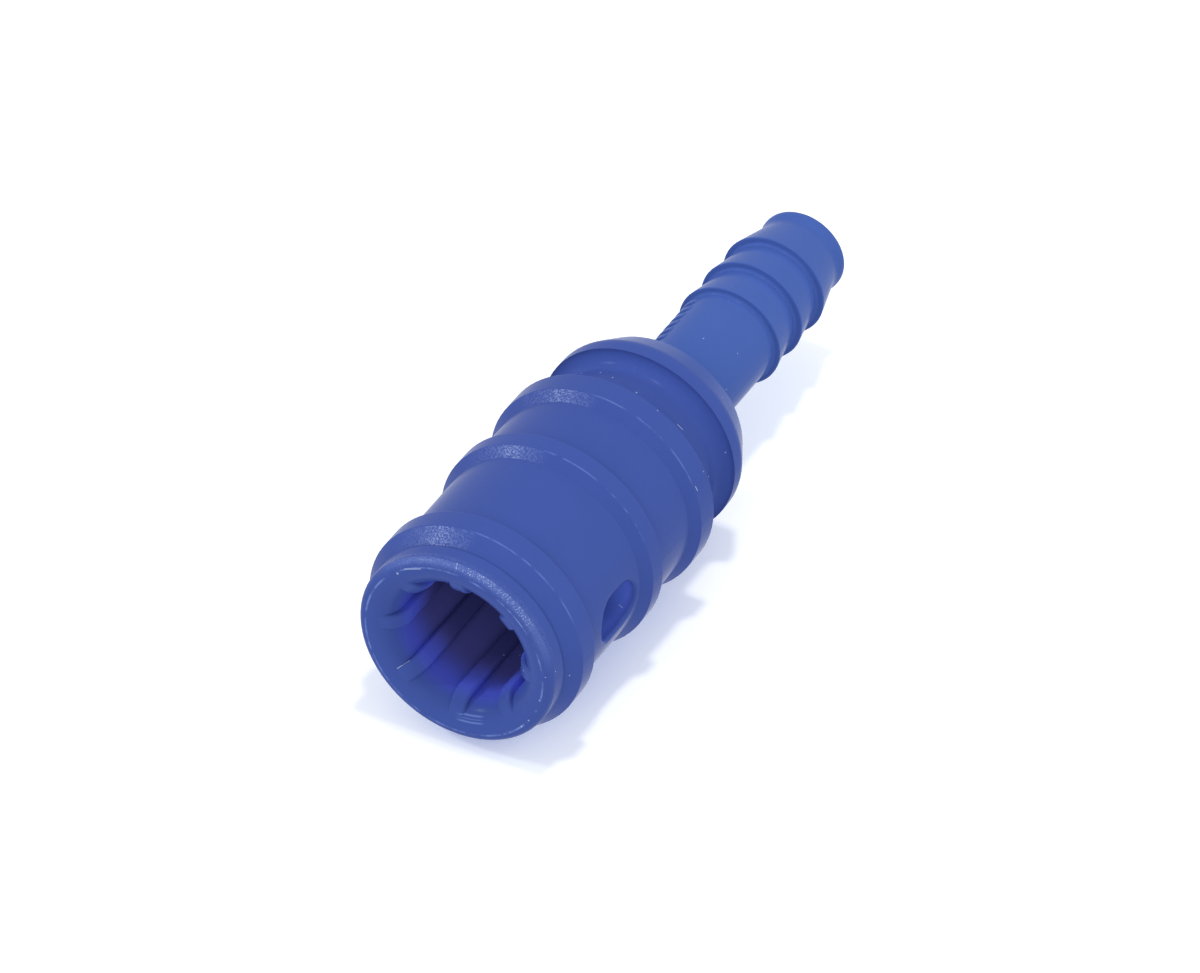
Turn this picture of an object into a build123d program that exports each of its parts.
from build123d import *
import math
import os

# Female quick coupling with a barbed hose tail, one hollow plastic moulding.
# The axis is Z. The mouth face lies on z = 0 and the hose tail points up.
# All sizes are in millimetres, and heights are measured from the mouth face.

# Hollow inside: rounded mouth, ribbed socket, seal seat and hose bore
socket_radius = 6.55
socket_depth = 21.0
mouth_round = 2.4
seat_length = 10.0
seat_cone_angle = 45.0
hose_bore_radius = 3.0
hose_bore_chamfer = 0.4

# Guide ribs that stand on the socket wall
rib_count = 8
rib_width = 1.7
rib_height = 0.8
rib_nose_start = 0.24
rib_nose_round = 2.4
rib_crest_round = 0.35
rib_root_depth = 2.0
rib_end_depth = 0.4
rib_to_seat_step = 0.1

# Lip round the mouth, measured outwards from the socket wall
lip_wall = 3.4
lip_length = 2.3
lip_round = 0.8
lip_groove_depth = 0.15
lip_groove_width = 0.2

# Barrel and its three raised rings, each with a chamfer that faces the mouth
barrel_wall = 3.65
ring_height = 0.8
ring_chamfer_angle = 38.0
first_ring_width = 2.25
middle_ring_width = 1.9
last_ring_width = 2.4
first_to_middle_ring = 13.1
middle_to_last_ring = 9.2
ring_edge_round = 0.12
ring_foot_round = 0.3

# Waist behind the last ring, then the flange with its tapered back
waist_wall = 2.85
waist_length = 5.75
waist_front_round = 0.8
waist_back_round = 1.4
flange_height = 1.55
flange_land = 1.45
flange_land_round = 1.6
flange_taper_angle = 27.5
flange_taper_length = 3.0
flange_back_round = 0.4

# Hose tail with three barbs and a small bead at its free end
tail_wall = 1.75
tail_plain_length = 13.05
tail_root_round = 0.8
barb_height = 0.62
barb_valley_depth = 0.15
barb_count = 3
barb_pitch = 4.35
barb_shoulder = 0.1
barb_foot_round = 0.3
barb_edge_round = 0.12
nose_taper_length = 4.7
nose_taper_depth = 0.58
nose_round = 1.5
bead_height = 0.25
bead_rise = 0.9
bead_length = 0.7
bead_front_round = 0.5
bead_back_round = 0.45

# Oblong window in the barrel wall, on the +X side
window_length = 6.4
window_width = 4.7
window_gap_to_ring = 0.65
window_edge_round = 0.3
window_clearance = 0.3

# Radii that follow from the sizes above
rib_crest_radius = socket_radius - rib_height
seat_radius = rib_crest_radius - rib_to_seat_step
lip_radius = socket_radius + lip_wall
groove_radius = lip_radius - lip_groove_depth
barrel_radius = socket_radius + barrel_wall
ring_radius = barrel_radius + ring_height
waist_radius = seat_radius + waist_wall
flange_radius = waist_radius + flange_height
flange_back_radius = flange_radius - flange_taper_length * math.tan(math.radians(flange_taper_angle))
tail_radius = hose_bore_radius + tail_wall
barb_radius = tail_radius + barb_height
barb_valley_radius = tail_radius - barb_valley_depth
nose_radius = tail_radius - nose_taper_depth
bead_radius = nose_radius + bead_height

# Heights that follow from the sizes above
chamfer_slope = math.tan(math.radians(ring_chamfer_angle))
first_ring_z = lip_length + lip_groove_width + (ring_radius - groove_radius) / chamfer_slope
middle_ring_z = first_ring_z + first_to_middle_ring
last_ring_z = middle_ring_z + middle_to_last_ring
waist_z = last_ring_z + last_ring_width
flange_z = waist_z + waist_length
flange_back_z = flange_z + flange_land + flange_taper_length
first_barb_z = flange_back_z + tail_plain_length + barb_shoulder
last_barb_z = first_barb_z + (barb_count - 1) * barb_pitch
nose_z = last_barb_z + nose_taper_length
tail_end_z = nose_z + bead_rise + bead_length
seat_end_z = socket_depth + seat_length
seat_cone_end_z = seat_end_z + (seat_radius - hose_bore_radius) / math.tan(math.radians(seat_cone_angle))
window_top_z = middle_ring_z - ring_height / chamfer_slope - window_gap_to_ring


def revolved(corners):
    """A solid turned about Z from corners given as (radius, height, rounding)."""
    points = [(radius, 0, height) for radius, height, rounding in corners]
    roundings = [rounding for radius, height, rounding in corners]
    outline = FilletPolyline(*points, radius=roundings, close=True)
    return revolve(make_face(outline), axis=Axis.Z)


def ring_corners(foot_radius, land_z, width, back_radius, back_round):
    """A raised ring: chamfer up from the foot, flat land, then a square back."""
    chamfer_length = (ring_radius - foot_radius) / chamfer_slope
    return [
        (foot_radius, land_z - chamfer_length, 0),
        (ring_radius, land_z, ring_edge_round),
        (ring_radius, land_z + width, ring_edge_round),
        (back_radius, land_z + width, back_round),
    ]


def barb_corners(edge_z, foot_radius):
    """A hose barb: square shoulder towards the flange and a sharp holding edge."""
    return [
        (foot_radius, edge_z - barb_shoulder, barb_foot_round),
        (barb_radius, edge_z, barb_edge_round),
    ]


def outer_corners():
    """The outside, from the lip round the mouth to the free end of the tail."""
    corners = [(lip_radius, 0, lip_round), (lip_radius, lip_length, 0), (groove_radius, lip_length, 0)]
    corners += ring_corners(groove_radius, first_ring_z, first_ring_width, barrel_radius, ring_foot_round)
    corners += ring_corners(barrel_radius, middle_ring_z, middle_ring_width, barrel_radius, ring_foot_round)
    corners += ring_corners(barrel_radius, last_ring_z, last_ring_width, waist_radius, waist_front_round)
    corners += [
        (waist_radius, flange_z, waist_back_round),
        (flange_radius, flange_z, 0),
        (flange_radius, flange_z + flange_land, flange_land_round),
        (flange_back_radius, flange_back_z, flange_back_round),
        (tail_radius, flange_back_z, tail_root_round),
    ]
    for index in range(barb_count):
        foot_radius = tail_radius if index == 0 else barb_valley_radius
        corners += barb_corners(first_barb_z + index * barb_pitch, foot_radius)
    corners += [
        (nose_radius, nose_z, nose_round),
        (bead_radius, nose_z + bead_rise, bead_front_round),
        (bead_radius, tail_end_z, bead_back_round),
    ]
    return corners


def inner_corners():
    """The inside, from the free end of the tail back to the rounded mouth."""
    return [
        (hose_bore_radius + hose_bore_chamfer, tail_end_z, 0),
        (hose_bore_radius, tail_end_z - hose_bore_chamfer, 0),
        (hose_bore_radius, seat_cone_end_z, 0),
        (seat_radius, seat_end_z, 0),
        (seat_radius, socket_depth, 0),
        (socket_radius, socket_depth, 0),
        (socket_radius, 0, mouth_round),
    ]


def guide_rib():
    """One guide rib on the +X side: its rounded nose rises from the rounded mouth to a flat crest."""
    root_radius = socket_radius + rib_root_depth
    rib_end_z = socket_depth + rib_end_depth
    corners = [
        (root_radius, 0, rib_nose_start),
        (rib_crest_radius, 0, rib_nose_start),
        (rib_crest_radius, 0, rib_end_z),
        (root_radius, 0, rib_end_z),
    ]
    profile = FilletPolyline(*corners, radius=[0, rib_nose_round, 0, 0], close=True)
    plate = extrude(make_face(profile), amount=rib_width / 2, both=True)
    crest_edges = [
        edge
        for edge in plate.edges()
        if abs(edge.center().Y) > rib_width / 4
        and edge.center().X < root_radius
        and edge.center().Z < socket_depth
    ]
    return fillet(crest_edges, rib_crest_round)


def window_cutter():
    """The oblong cutter that goes through the barrel wall and the rib behind it."""
    centre = Vector(ring_radius, 0, window_top_z - window_length / 2)
    face_plane = Plane(origin=centre, x_dir=(0, 0, 1), z_dir=(-1, 0, 0))
    opening = face_plane * SlotOverall(window_length, window_width)
    return extrude(opening, amount=ring_radius - rib_crest_radius + window_clearance)


def window_rim(body):
    """The edges where the window meets the outside of the barrel."""
    window_bottom_z = window_top_z - window_length

    def on_barrel(point):
        return abs(math.hypot(point.X, point.Y) - barrel_radius) < 0.01

    return [
        edge
        for edge in body.edges()
        if window_bottom_z <= edge.center().Z <= window_top_z
        and edge.center().X > 0
        and all(on_barrel(edge @ share) for share in (0, 0.5, 1))
    ]


def coupling_body():
    """The whole moulding: one section turned about the axis, ribs in the socket and a side window."""
    body = revolved(outer_corners() + inner_corners())
    rib = guide_rib()
    for index in range(rib_count):
        body += rib.rotate(Axis.Z, index * 360 / rib_count)
    body -= window_cutter()
    return fillet(window_rim(body), window_edge_round)


os.makedirs("parts", exist_ok=True)
body = coupling_body()
export_step(body, "parts/coupling_body.step")
print("length", round(tail_end_z, 2), "volume", round(body.volume, 1), "solids", len(body.solids()))
